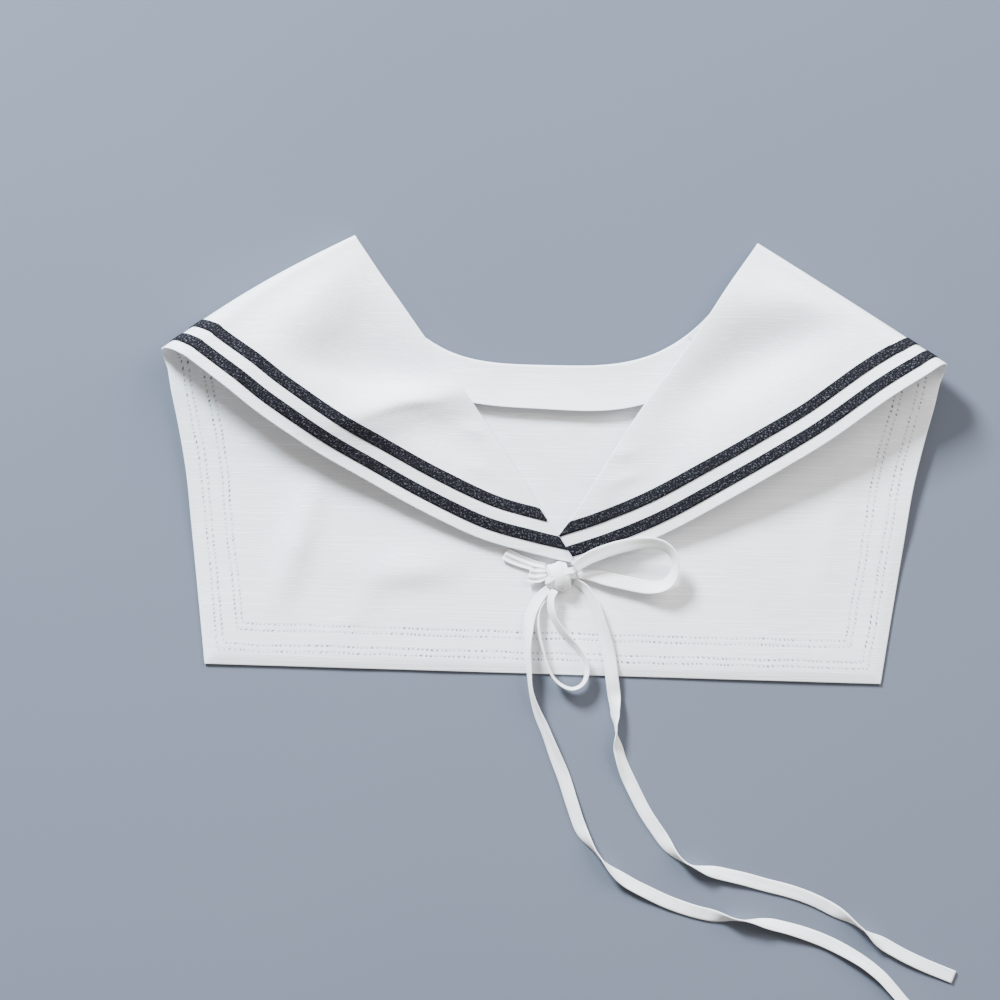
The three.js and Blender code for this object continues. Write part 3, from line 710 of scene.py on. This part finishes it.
def make_band(material):
    """The facing band inside the back neckline, its free edge standing off a little."""
    rings, flat = [], []
    half = REAL_BAND / 2
    shares = shares_across(BAND_EDGE, BAND_CROSS_STEPS)
    runs = 0
    before = None
    for i in range(BAND_STEPS + 1):
        across = BAND_END * (2 * i / BAND_STEPS - 1)
        run = (neckline_at(across + NEARBY) - neckline_at(across - NEARBY)).normalized()
        into = plan(run.y, -run.x)
        start = neckline_at(across)
        sag = BAND_SAG * math.exp(-(((across - BAND_SAG_PLACE) / BAND_SAG_SPREAD) ** 2))
        depth = BAND_DEPTH - BAND_INSET + sag
        if before is not None:
            runs += (start - before).length
        before = start
        end_rim = edge_thickness(min(i, BAND_STEPS - i) / BAND_STEPS * BAND_LENGTH, half)
        middle = 1 - (across / BAND_END) ** 4
        upper, lower, places = [], [], []
        for share in shares:
            spot = start + into * (BAND_INSET + depth * share)
            rippled = Vector((spot.x * BAND_RIPPLE_PACE, spot.y * BAND_RIPPLE_PACE, BAND_RIPPLE_LAYER))
            ripple = noise.noise(rippled) * BAND_RIPPLE * fade(share, 0, 0.4)
            level = FLAP_LEVEL + BAND_RISE * (1 - BAND_END_DIP + BAND_END_DIP * middle)
            level += (BAND_STAND * share ** 2 + abs(ripple)) * middle
            level += cloth_relief(spot, LAST // 2)
            rim = half * end_rim * edge_thickness(min(share, 1 - share) * depth, half)
            upper.append(Vector((spot.x, spot.y, level + rim)))
            lower.append(Vector((spot.x, spot.y, level - rim)))
            places.append((runs, depth * share))
        rings.append(round_trip(upper, lower))
        flat.append(round_trip(places, places))
    return closed_skin("neckline_band", rings, flat, material)


# The ties

def strand_point(chosen):
    x, y, rise = chosen
    spot = point_of_the_v() + plan(x, y)
    edge = -COLLAR_LENGTH / 2
    under = FLAP_TOP * fade(spot.y, edge - TIE_DROP, edge)
    return (spot.x, spot.y, under + CLEARANCE + TIE / 2 + rise)


TIE_SPACING = 0.001
ROUTE_STEPS = 800
FEWEST_STEPS = 6


def strand_route(name):
    """Evenly spaced points along a strand, and its length."""
    chosen = [strand_point(p) for p in TIE_STRANDS[name]]
    fine = [Vector(p) for p in smooth_curve(chosen, [i / ROUTE_STEPS for i in range(ROUTE_STEPS + 1)])]
    lengths = [0]
    for a, b in zip(fine, fine[1:]):
        lengths.append(lengths[-1] + (b - a).length)
    count = max(int(lengths[-1] / TIE_SPACING), FEWEST_STEPS)
    route = []
    k = 0
    for i in range(count + 1):
        want = lengths[-1] * i / count
        while k < len(fine) - 2 and lengths[k + 1] < want:
            k += 1
        share = (want - lengths[k]) / max(lengths[k + 1] - lengths[k], 1e-9)
        route.append(fine[k].lerp(fine[k + 1], min(max(share, 0), 1)))
    return route, lengths[-1]


TIE_ACROSS = (
    -1, -0.97, -0.88, -0.72, -0.56, -0.4, -0.24, -0.08,
    0.08, 0.24, 0.4, 0.56, 0.72, 0.88, 0.97, 1,
)


def value_at(table, share):
    """A value eased between the shares of a table."""
    for (s0, v0), (s1, v1) in zip(table, table[1:]):
        if share <= s1:
            return v0 + (v1 - v0) * fade(share, s0, s1)
    return table[-1][1]


def make_strand(name, material):
    """A folded and edge-stitched strip that lies flat, stands on edge and turns over as it runs."""
    route, length = strand_route(name)
    rings, flat, path = [], [], []
    last = len(route) - 1
    pleats = TIE_PLEATS.get(name, 0)
    for i, spot in enumerate(route):
        share = i / last
        width = value_at(TIE_WIDTHS[name], share)
        ahead = (route[min(i + 1, last)] - route[max(i - 1, 0)]).normalized()
        left = Vector((0, 0, 1)).cross(ahead).normalized()
        top = ahead.cross(left)
        turn = math.radians(value_at(TIE_TURNS[name], share))
        side = left * math.cos(turn) + top * math.sin(turn)
        face = top * math.cos(turn) - left * math.sin(turn)
        lift = abs(math.sin(turn)) * (width - TIE) / 2
        middle = spot + Vector((0, 0, lift))
        path.append(middle)
        uneven = Vector((share * length * TIE_CUP_PACE, TIE_CUP_LAYER, len(name)))
        cup = TIE_CUP * noise.noise(uneven)
        upper, lower, places = [], [], []
        for across in TIE_ACROSS:
            puff = 1 - TIE_WAIST * math.exp(-((across * TIE_WAIST_PLACE) ** 2))
            thick = TIE_HALF_WALL * puff * math.sqrt(max(1 - across ** 8, 0))
            pleat = TIE_PLEAT_HEIGHT * math.cos(math.pi * pleats * (across + 1)) if pleats else 0
            centre = middle + side * across * width / 2 + face * (cup * (1 - across * across) + pleat)
            upper.append(centre + face * thick)
            lower.append(centre - face * thick)
            places.append((share * length, (across + 1) * width / 2))
        rings.append(round_trip(upper, lower))
        flat.append(round_trip(places, places))
    strand = closed_skin(name + "_strip", rings, flat, material)
    return strand, path, length


def make_wrap(wrap, centre, material):
    """One turn of gathered strip over the knot."""
    start, crown, end, width, top = wrap
    ends = [(x, y, -KNOT_SIZE[2] * WRAP_END_DEPTH) for x, y in (start, end)]
    shoulders = []
    for place in (start, end):
        x, y = (edge * WRAP_SHOULDER + over * (1 - WRAP_SHOULDER) for edge, over in zip(place, crown))
        shoulders.append((x, y, top * WRAP_SHOULDER_RISE))
    chosen = [ends[0], shoulders[0], (*crown, top), shoulders[1], ends[1]]
    line = [Vector(p) for p in smooth_curve(chosen, [i / WRAP_STEPS for i in range(WRAP_STEPS + 1)])]
    rings, flat = [], []
    for i, spot in enumerate(line):
        ahead = (line[min(i + 1, WRAP_STEPS)] - line[max(i - 1, 0)]).normalized()
        up = Vector((spot.x * WRAP_LEAN, spot.y * WRAP_LEAN, spot.z + WRAP_UPRIGHT)).normalized()
        side = up.cross(ahead).normalized()
        face = ahead.cross(side)
        upper, lower, places = [], [], []
        for across in TIE_ACROSS:
            uneven = Vector((i, across, width)) * Vector(WRAP_UNEVEN_PACE)
            wander = WRAP_UNEVEN * noise.noise(uneven)
            pleat = WRAP_PLEAT_HEIGHT * math.cos(math.pi * WRAP_PLEATS * (across + 1) + wander * 6)
            pleat += wander * WRAP_WANDER
            crowned = WRAP_CROWN * (1 - across * across)
            rim = math.sqrt(max(1 - across ** 6, 0))
            middle = centre + spot + side * across * width / 2
            upper.append(middle + face * (crowned + pleat * rim + WRAP_UPPER_WALL * rim))
            lower.append(middle + face * (crowned * WRAP_LOWER_CROWN - WRAP_LOWER_WALL * rim))
            places.append((i / WRAP_STEPS * WRAP_LENGTH, (across + 1) * width / 2))
        rings.append(round_trip(upper, lower))
        flat.append(round_trip(places, places))
    return closed_skin("wrap", rings, flat, material)


def make_knot(material):
    """The knot: a gathered core with three turns of the strip wound over it."""
    middle = point_of_the_v() + plan(*KNOT_PLACE)
    centre = Vector((middle.x, middle.y, FLAP_TOP + CLEARANCE + KNOT_SIZE[2] / 2))
    bpy.ops.mesh.primitive_uv_sphere_add(segments=2 * KNOT_STEPS, ring_count=KNOT_STEPS, radius=0.5)
    knot = bpy.context.object
    knot.name = "tie_knot_wound"
    knot.data.uv_layers[0].name = "flat"
    for vertex in knot.data.vertices:
        x, y, z = vertex.co * 2
        gathers = math.sin(math.atan2(y, x) * KNOT_PLEATS + KNOT_TWIST * z) * (1 - z * z)
        pleat = KNOT_PLEAT_HEIGHT * gathers
        pleat += KNOT_PLEAT_HEIGHT * noise.noise(Vector((x, y, z)) * KNOT_UNEVEN_PACE)
        vertex.co = centre + Vector((
            x * (1 + pleat) * KNOT_SIZE[0] * KNOT_CORE[0],
            y * (1 + pleat) * KNOT_SIZE[1] * KNOT_CORE[1],
            z * (1 + pleat * 0.5) * KNOT_SIZE[2] * KNOT_CORE[2],
        ))
    for face in knot.data.polygons:
        face.use_smooth = True
    knot.data.materials.clear()
    knot.data.materials.append(material)
    wraps = [make_wrap(wrap, centre, material) for wrap in KNOT_WRAPS]
    bpy.ops.object.select_all(action="DESELECT")
    for piece in [knot] + wraps:
        piece.select_set(True)
    bpy.context.view_layer.objects.active = knot
    bpy.ops.object.join()
    bpy.ops.object.select_all(action="DESELECT")
    return knot


# Cloths and tapes, as they are woven and sewn

class Weave:
    """A material's nodes, with short words for what a weaver would ask of them."""

    def __init__(self, name, roughness, sheen, specular=0.2):
        self.material = bpy.data.materials.new(name)
        self.material.use_nodes = True
        self.nodes = self.material.node_tree.nodes
        self.links = self.material.node_tree.links
        self.shader = self.nodes["Principled BSDF"]
        self.shader.inputs["Sheen Weight"].default_value = sheen
        self.shader.inputs["Sheen Roughness"].default_value = 0.5
        self.shader.inputs["Specular IOR Level"].default_value = specular
        self.shader.inputs["Roughness"].default_value = roughness

    def _set(self, socket, value):
        if isinstance(value, bpy.types.NodeSocket):
            self.links.new(value, socket)
        else:
            socket.default_value = value

    def places(self, stretch, flat=False, turn=0):
        """Places on the piece, stretched, from its own map when it was laid flat."""
        if flat:
            source = self.nodes.new("ShaderNodeUVMap")
            source.uv_map = "flat"
            start = source.outputs["UV"]
        else:
            source = self.nodes.new("ShaderNodeTexCoord")
            start = source.outputs["Object"]
        mapping = self.nodes.new("ShaderNodeMapping")
        mapping.inputs["Scale"].default_value = stretch
        mapping.inputs["Rotation"].default_value = (0, 0, turn)
        self.links.new(start, mapping.inputs["Vector"])
        return mapping.outputs["Vector"]

    def cloud(self, where, scale=1.0, detail=2.0, roughness=0.5):
        node = self.nodes.new("ShaderNodeTexNoise")
        self.links.new(where, node.inputs["Vector"])
        node.inputs["Scale"].default_value = scale
        node.inputs["Detail"].default_value = detail
        node.inputs["Roughness"].default_value = roughness
        return node.outputs["Fac"]

    def split(self, where):
        node = self.nodes.new("ShaderNodeSeparateXYZ")
        self.links.new(where, node.inputs[0])
        return node.outputs[0], node.outputs[1], node.outputs[2]

    def do(self, what, *values):
        node = self.nodes.new("ShaderNodeMath")
        node.operation = what
        for socket, value in zip(node.inputs, values):
            self._set(socket, value)
        return node.outputs[0]

    def between(self, value, low, high, to_low=0.0, to_high=1.0):
        node = self.nodes.new("ShaderNodeMapRange")
        self._set(node.inputs["Value"], value)
        ends = {"From Min": low, "From Max": high, "To Min": to_low, "To Max": to_high}
        for name, number in ends.items():
            node.inputs[name].default_value = number
        return node.outputs[0]

    def blend(self, share, first, second):
        node = self.nodes.new("ShaderNodeMix")
        node.data_type = "RGBA"
        self._set(node.inputs[0], share)
        for socket, value in ((node.inputs[6], first), (node.inputs[7], second)):
            self._set(socket, value)
        return node.outputs[2]

    def line(self, value, place, width):
        """1 on a line at this place, 0 away from it."""
        off = self.do("ABSOLUTE", self.do("SUBTRACT", value, place))
        return self.between(off, width * 0.4, width * 0.6, 1.0, 0.0)

    def lines(self, value, places, width):
        """1 on any line at these places, 0 away from them."""
        found = self.line(value, places[0], width)
        for place in places[1:]:
            found = self.do("MAXIMUM", found, self.line(value, place, width))
        return found

    def threads(self, value, count):
        """Threads side by side: a rounded wave of this many to each whole step of the value."""
        wave = self.do("SINE", self.do("MULTIPLY", value, count * math.tau))
        return self.between(wave, -1, 1)

    def finish(self, colour, height, distance, strength):
        self._set(self.shader.inputs["Base Color"], colour)
        node = self.nodes.new("ShaderNodeBump")
        node.inputs["Distance"].default_value = distance
        node.inputs["Strength"].default_value = strength
        self.links.new(height, node.inputs["Height"])
        self.links.new(node.outputs[0], self.shader.inputs["Normal"])
        return self.material


WHITE = (0.77, 0.785, 0.81, 1)
TIE_WHITE = (0.82, 0.81, 0.80, 1)
TIE_SHADE = (0.71, 0.70, 0.69, 1)
SLUB_WHITE = (0.91, 0.92, 0.94, 1)
SHADE_WHITE = (0.66, 0.675, 0.71, 1)
# Dark grey painted shade for the flap's stitch holes and dimples
STITCH_HOLE_SHADE = (0.10, 0.105, 0.13, 1)
TIE_SEAM = (0.5, 0.51, 0.55, 1)
TAPE_GROUND = (0.0015, 0.0015, 0.002, 1)
TAPE_RIB = (0.011, 0.011, 0.014, 1)
TAPE_FLECK = (0.14, 0.14, 0.16, 1)
TAPE_WORN = (0.010, 0.010, 0.013, 1)
TAPE_EDGE = (0.003, 0.003, 0.005, 1)
TABLE_DARK = (0.108, 0.121, 0.152, 1)
TABLE_LIGHT = (0.114, 0.128, 0.160, 1)

# How the flap's tapes are sewn on: distance of each seam from the hem, stitches to the metre
STITCH_LINES = (0.0073, 0.0104, 0.0176, 0.0206)
STITCH_PACE = 400
STITCH_UNEVEN = 3
STITCH_WIDTH = 0.00095
STITCH_WANDER = 0.0009
PUCKER_WIDTH = 0.0016
TICKS_PER_STITCH = 2

# Threads to the metre, and the seam along one edge of the ties
COTTON_WARP = 2300
COTTON_WEFT = 2100
TAPE_TWILL = 1050
TAPE_CORDS = 1700
TAPE_RIM = 0.0004
TIE_WARP = 2000
TIE_WEFT = 2400
TIE_SEAM_PLACE = 0.0011
TIE_SEAM_WIDTH = 0.0004
TIE_SEAM_PACE = 420


def slub_cotton(name, stitched):
    """White cotton with slubs that run across the collar and a few along it."""
    w = Weave(name, 0.9, 0.15)
    plain = w.places((1, 1, 1))
    x, y, z = w.split(plain)
    slubs = w.cloud(w.places((22, 1500, 1500)), detail=1.5)
    long_slubs = w.cloud(w.places((9, 620, 620)), detail=1.0)
    rises = w.cloud(w.places((1100, 30, 30)), detail=1.0)
    patches = w.cloud(plain, scale=24, detail=3)
    slub = w.do("ADD", w.between(slubs, 0.5, 0.78), w.between(long_slubs, 0.6, 0.8, 0, 0.7))
    colour = w.blend(w.between(patches, 0.35, 0.7, 0, 0.35), WHITE, SHADE_WHITE)
    colour = w.blend(w.between(slub, 0, 1.1, 0, 0.9), colour, SLUB_WHITE)
    colour = w.blend(w.between(rises, 0.62, 0.8, 0, 0.35), colour, SHADE_WHITE)
    warp = w.threads(w.do("ADD", x, w.do("MULTIPLY", z, 0.7)), COTTON_WARP)
    weft = w.threads(w.do("ADD", y, w.do("MULTIPLY", z, 0.7)), COTTON_WEFT)
    weave = w.do("MULTIPLY", w.do("MAXIMUM", warp, weft), 0.35)
    height = w.do("ADD", weave, w.do("MULTIPLY", slub, 0.9))
    if stitched:
        run, inside, _ = w.split(w.places((1, 1, 1), flat=True))
        wander = w.cloud(w.places((60, 60, 60)), detail=1)
        inside = w.do("ADD", inside, w.between(wander, 0, 1, -STITCH_WANDER, STITCH_WANDER))
        uneven = w.cloud(w.places((90, 90, 90)), detail=2)
        pace = w.do("ADD", w.do("MULTIPLY", run, STITCH_PACE), w.do("MULTIPLY", uneven, STITCH_UNEVEN))
        dash = w.between(w.do("FRACT", pace), 0.34, 0.46, 1, 0)
        seen = w.between(w.cloud(w.places((170, 170, 170)), detail=3, roughness=0.7), 0.42, 0.62)
        stitch_line = w.lines(inside, STITCH_LINES, STITCH_WIDTH)
        pucker_and_shade = w.lines(inside, STITCH_LINES, PUCKER_WIDTH)
        stitches = w.do("MULTIPLY", w.do("MULTIPLY", stitch_line, dash), w.between(seen, 0, 1, 0.32, 1))
        ticks = w.threads(pace, TICKS_PER_STITCH)
        pucker_and_shade = w.do("MULTIPLY", pucker_and_shade, w.between(ticks, 0, 1, 0.35, 1))
        # The puckers beside the seams are darkened with painted shade, and also pressed in as a bump
        # below
        colour = w.blend(w.do("MULTIPLY", pucker_and_shade, 0.3), colour, SHADE_WHITE)
        # The stitch dashes are dark grey painted shade in the stitch holes and dimples, also pressed
        # in as a bump below
        colour = w.blend(w.do("MULTIPLY", stitches, 0.95), colour, STITCH_HOLE_SHADE)
        height = w.do("SUBTRACT", height, w.do("MULTIPLY", pucker_and_shade, 0.8))
        height = w.do("SUBTRACT", height, w.do("MULTIPLY", stitches, 0.6))
    return w.finish(colour, height, distance=0.00012, strength=0.55)


def ribbed_tape():
    """Navy tape with fine ribs, lighter flecks and a firm woven edge."""
    w = Weave("navy_tape", 0.85, 0.0, specular=0.06)
    run, across, _ = w.split(w.places((1, 1, 1), flat=True))
    lean = w.do("ADD", run, w.do("MULTIPLY", across, 0.9))
    twill = w.threads(lean, TAPE_TWILL)
    cords = w.threads(across, TAPE_CORDS)
    flecks = w.cloud(w.places((1500, 950, 1), flat=True), detail=2, roughness=0.7)
    wear = w.cloud(w.places((40, 40, 40)), detail=2)
    colour = w.blend(twill, TAPE_GROUND, TAPE_RIB)
    colour = w.blend(w.between(flecks, 0.56, 0.67, 0, 0.85), colour, TAPE_FLECK)
    colour = w.blend(w.between(wear, 0.4, 0.75, 0, 0.3), colour, TAPE_WORN)
    edge = w.lines(across, (TAPE_RIM, TAPE_WIDTH - TAPE_RIM), 0.0005)
    colour = w.blend(w.do("MULTIPLY", edge, 0.4), colour, TAPE_EDGE)
    height = w.do("ADD", w.do("MULTIPLY", twill, 0.6), w.do("MULTIPLY", cords, 0.4))
    height = w.do("SUBTRACT", height, edge)
    return w.finish(colour, height, distance=0.00012, strength=0.8)


def tie_cotton():
    """The same white cotton cut narrow: a fine weave, a sewn line near one edge."""
    w = Weave("white_tie_cotton", 0.88, 0.15)
    run, across, _ = w.split(w.places((1, 1, 1), flat=True))
    warp = w.threads(run, TIE_WARP)
    weft = w.threads(across, TIE_WEFT)
    patches = w.cloud(w.places((70, 200, 1), flat=True), detail=3)
    slubs = w.cloud(w.places((40, 2200, 1), flat=True), detail=1)
    colour = w.blend(w.between(patches, 0.35, 0.7, 0, 0.3), TIE_WHITE, TIE_SHADE)
    colour = w.blend(w.between(slubs, 0.55, 0.8, 0, 0.5), colour, SLUB_WHITE)
    seam = w.line(across, TIE_SEAM_PLACE, TIE_SEAM_WIDTH)
    dash = w.between(w.do("FRACT", w.do("MULTIPLY", run, TIE_SEAM_PACE)), 0.55, 0.68, 1, 0.25)
    colour = w.blend(w.do("MULTIPLY", w.do("MULTIPLY", seam, dash), 0.35), colour, TIE_SEAM)
    weave = w.do("MULTIPLY", w.do("MAXIMUM", warp, weft), 0.3)
    height = w.do("ADD", weave, w.do("MULTIPLY", slubs, 0.7))
    height = w.do("SUBTRACT", height, seam)
    return w.finish(colour, height, distance=0.00015, strength=0.6)


def knot_cotton():
    """The same cotton gathered into the knot, its slubs running aslant."""
    w = Weave("white_knot_cotton", 0.88, 0.15)
    patches = w.cloud(w.places((1, 1, 1)), scale=260, detail=4)
    slubs = w.cloud(w.places((300, 1900, 1900), turn=0.9), detail=2)
    colour = w.blend(w.between(patches, 0.35, 0.7, 0, 0.4), TIE_WHITE, TIE_SHADE)
    colour = w.blend(w.between(slubs, 0.55, 0.8, 0, 0.5), colour, SLUB_WHITE)
    height = w.do("ADD", w.do("MULTIPLY", patches, 0.8), slubs)
    return w.finish(colour, height, distance=0.0003, strength=0.6)


def table_paper():
    """Plain grey paper with faint clouds and a fine grain."""
    w = Weave("table_paper", 0.95, 0.0, specular=0.1)
    clouds = w.cloud(w.places((1, 1, 1)), scale=2.2, detail=2)
    grain = w.cloud(w.places((1, 1, 1)), scale=900, detail=2)
    colour = w.blend(w.between(clouds, 0.3, 0.7), TABLE_DARK, TABLE_LIGHT)
    return w.finish(colour, grain, distance=0.00005, strength=0.2)


TABLE_SIZE = 6


def sheet_of_paper(material):
    bpy.ops.mesh.primitive_plane_add(size=TABLE_SIZE, location=(0, 0, 0))
    paper = bpy.context.object
    paper.name = "table_top"
    paper.data.materials.append(material)


# Soft lights: degrees to the right of the collar's top, degrees up, size, power, colour
LIGHT_DISTANCE = 2.6
ROOM_COLOUR = (1, 0.95, 0.90, 1)
ROOM_STRENGTH = 0.56
LIGHTS = {
    "window": (-33, 32, 0.6, 350, (0.80, 0.90, 1)),
    "wide_screen": (46, 36, 2.0, 96, (1, 0.98, 0.96)),
}


def set_up_light():
    world = bpy.data.worlds.new("room")
    world.use_nodes = True
    room = world.node_tree.nodes["Background"]
    room.inputs["Color"].default_value = ROOM_COLOUR
    room.inputs["Strength"].default_value = ROOM_STRENGTH
    bpy.context.scene.world = world
    for name, (degrees_around, degrees_up, size, power, colour) in LIGHTS.items():
        light = bpy.data.lights.new(name, "AREA")
        light.shape = "SQUARE"
        light.size = size
        light.energy = power
        light.color = colour
        lamp = bpy.data.objects.new(name, light)
        around, up = math.radians(degrees_around), math.radians(degrees_up)
        away = Vector((math.sin(around) * math.cos(up), math.cos(around) * math.cos(up), math.sin(up)))
        lamp.location = away * LIGHT_DISTANCE
        lamp.rotation_euler = (-away).to_track_quat("-Z", "Y").to_euler()
        bpy.context.collection.objects.link(lamp)


# The free ends of the ties; a strand shorter than six widths is kept with the knot, and every piece
# rides with the root
SHORTEST_CORD = 6 * TIE_WIDTH


def tie_everything():
    cotton = tie_cotton()
    knot = make_knot(knot_cotton())
    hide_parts("tie_knot")
    short = [knot]
    cords = []
    for name in TIE_STRANDS:
        strand, path, length = make_strand(name, cotton)
        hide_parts(name)
        if length < SHORTEST_CORD:
            short.append(strand)
        else:
            cords.append((name, strand, path, length))
    for piece in short + [strand for _, strand, _, _ in cords]:
        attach(piece, "root")


def sew_collar():
    cloth = make_cloth(slub_cotton("slub_cotton_stitched", True))
    tape = ribbed_tape()
    outer = make_tape("outer_tape", HEM_MARGIN, tape)
    inner = make_tape("inner_tape", HEM_MARGIN + TAPE_WIDTH + TAPE_SPACING, tape)
    band = make_band(slub_cotton("slub_cotton", False))
    for piece, node, finish in (
        (cloth, "collar_body", "white_cotton"),
        (outer, "stripe_outer", "navy_tape"),
        (inner, "stripe_inner", "navy_tape"),
        (band, "neck_band", "white_cotton"),
    ):
        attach(piece, "root")
        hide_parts(node)


tie_everything()
sew_collar()
sheet_of_paper(table_paper())
set_up_light()
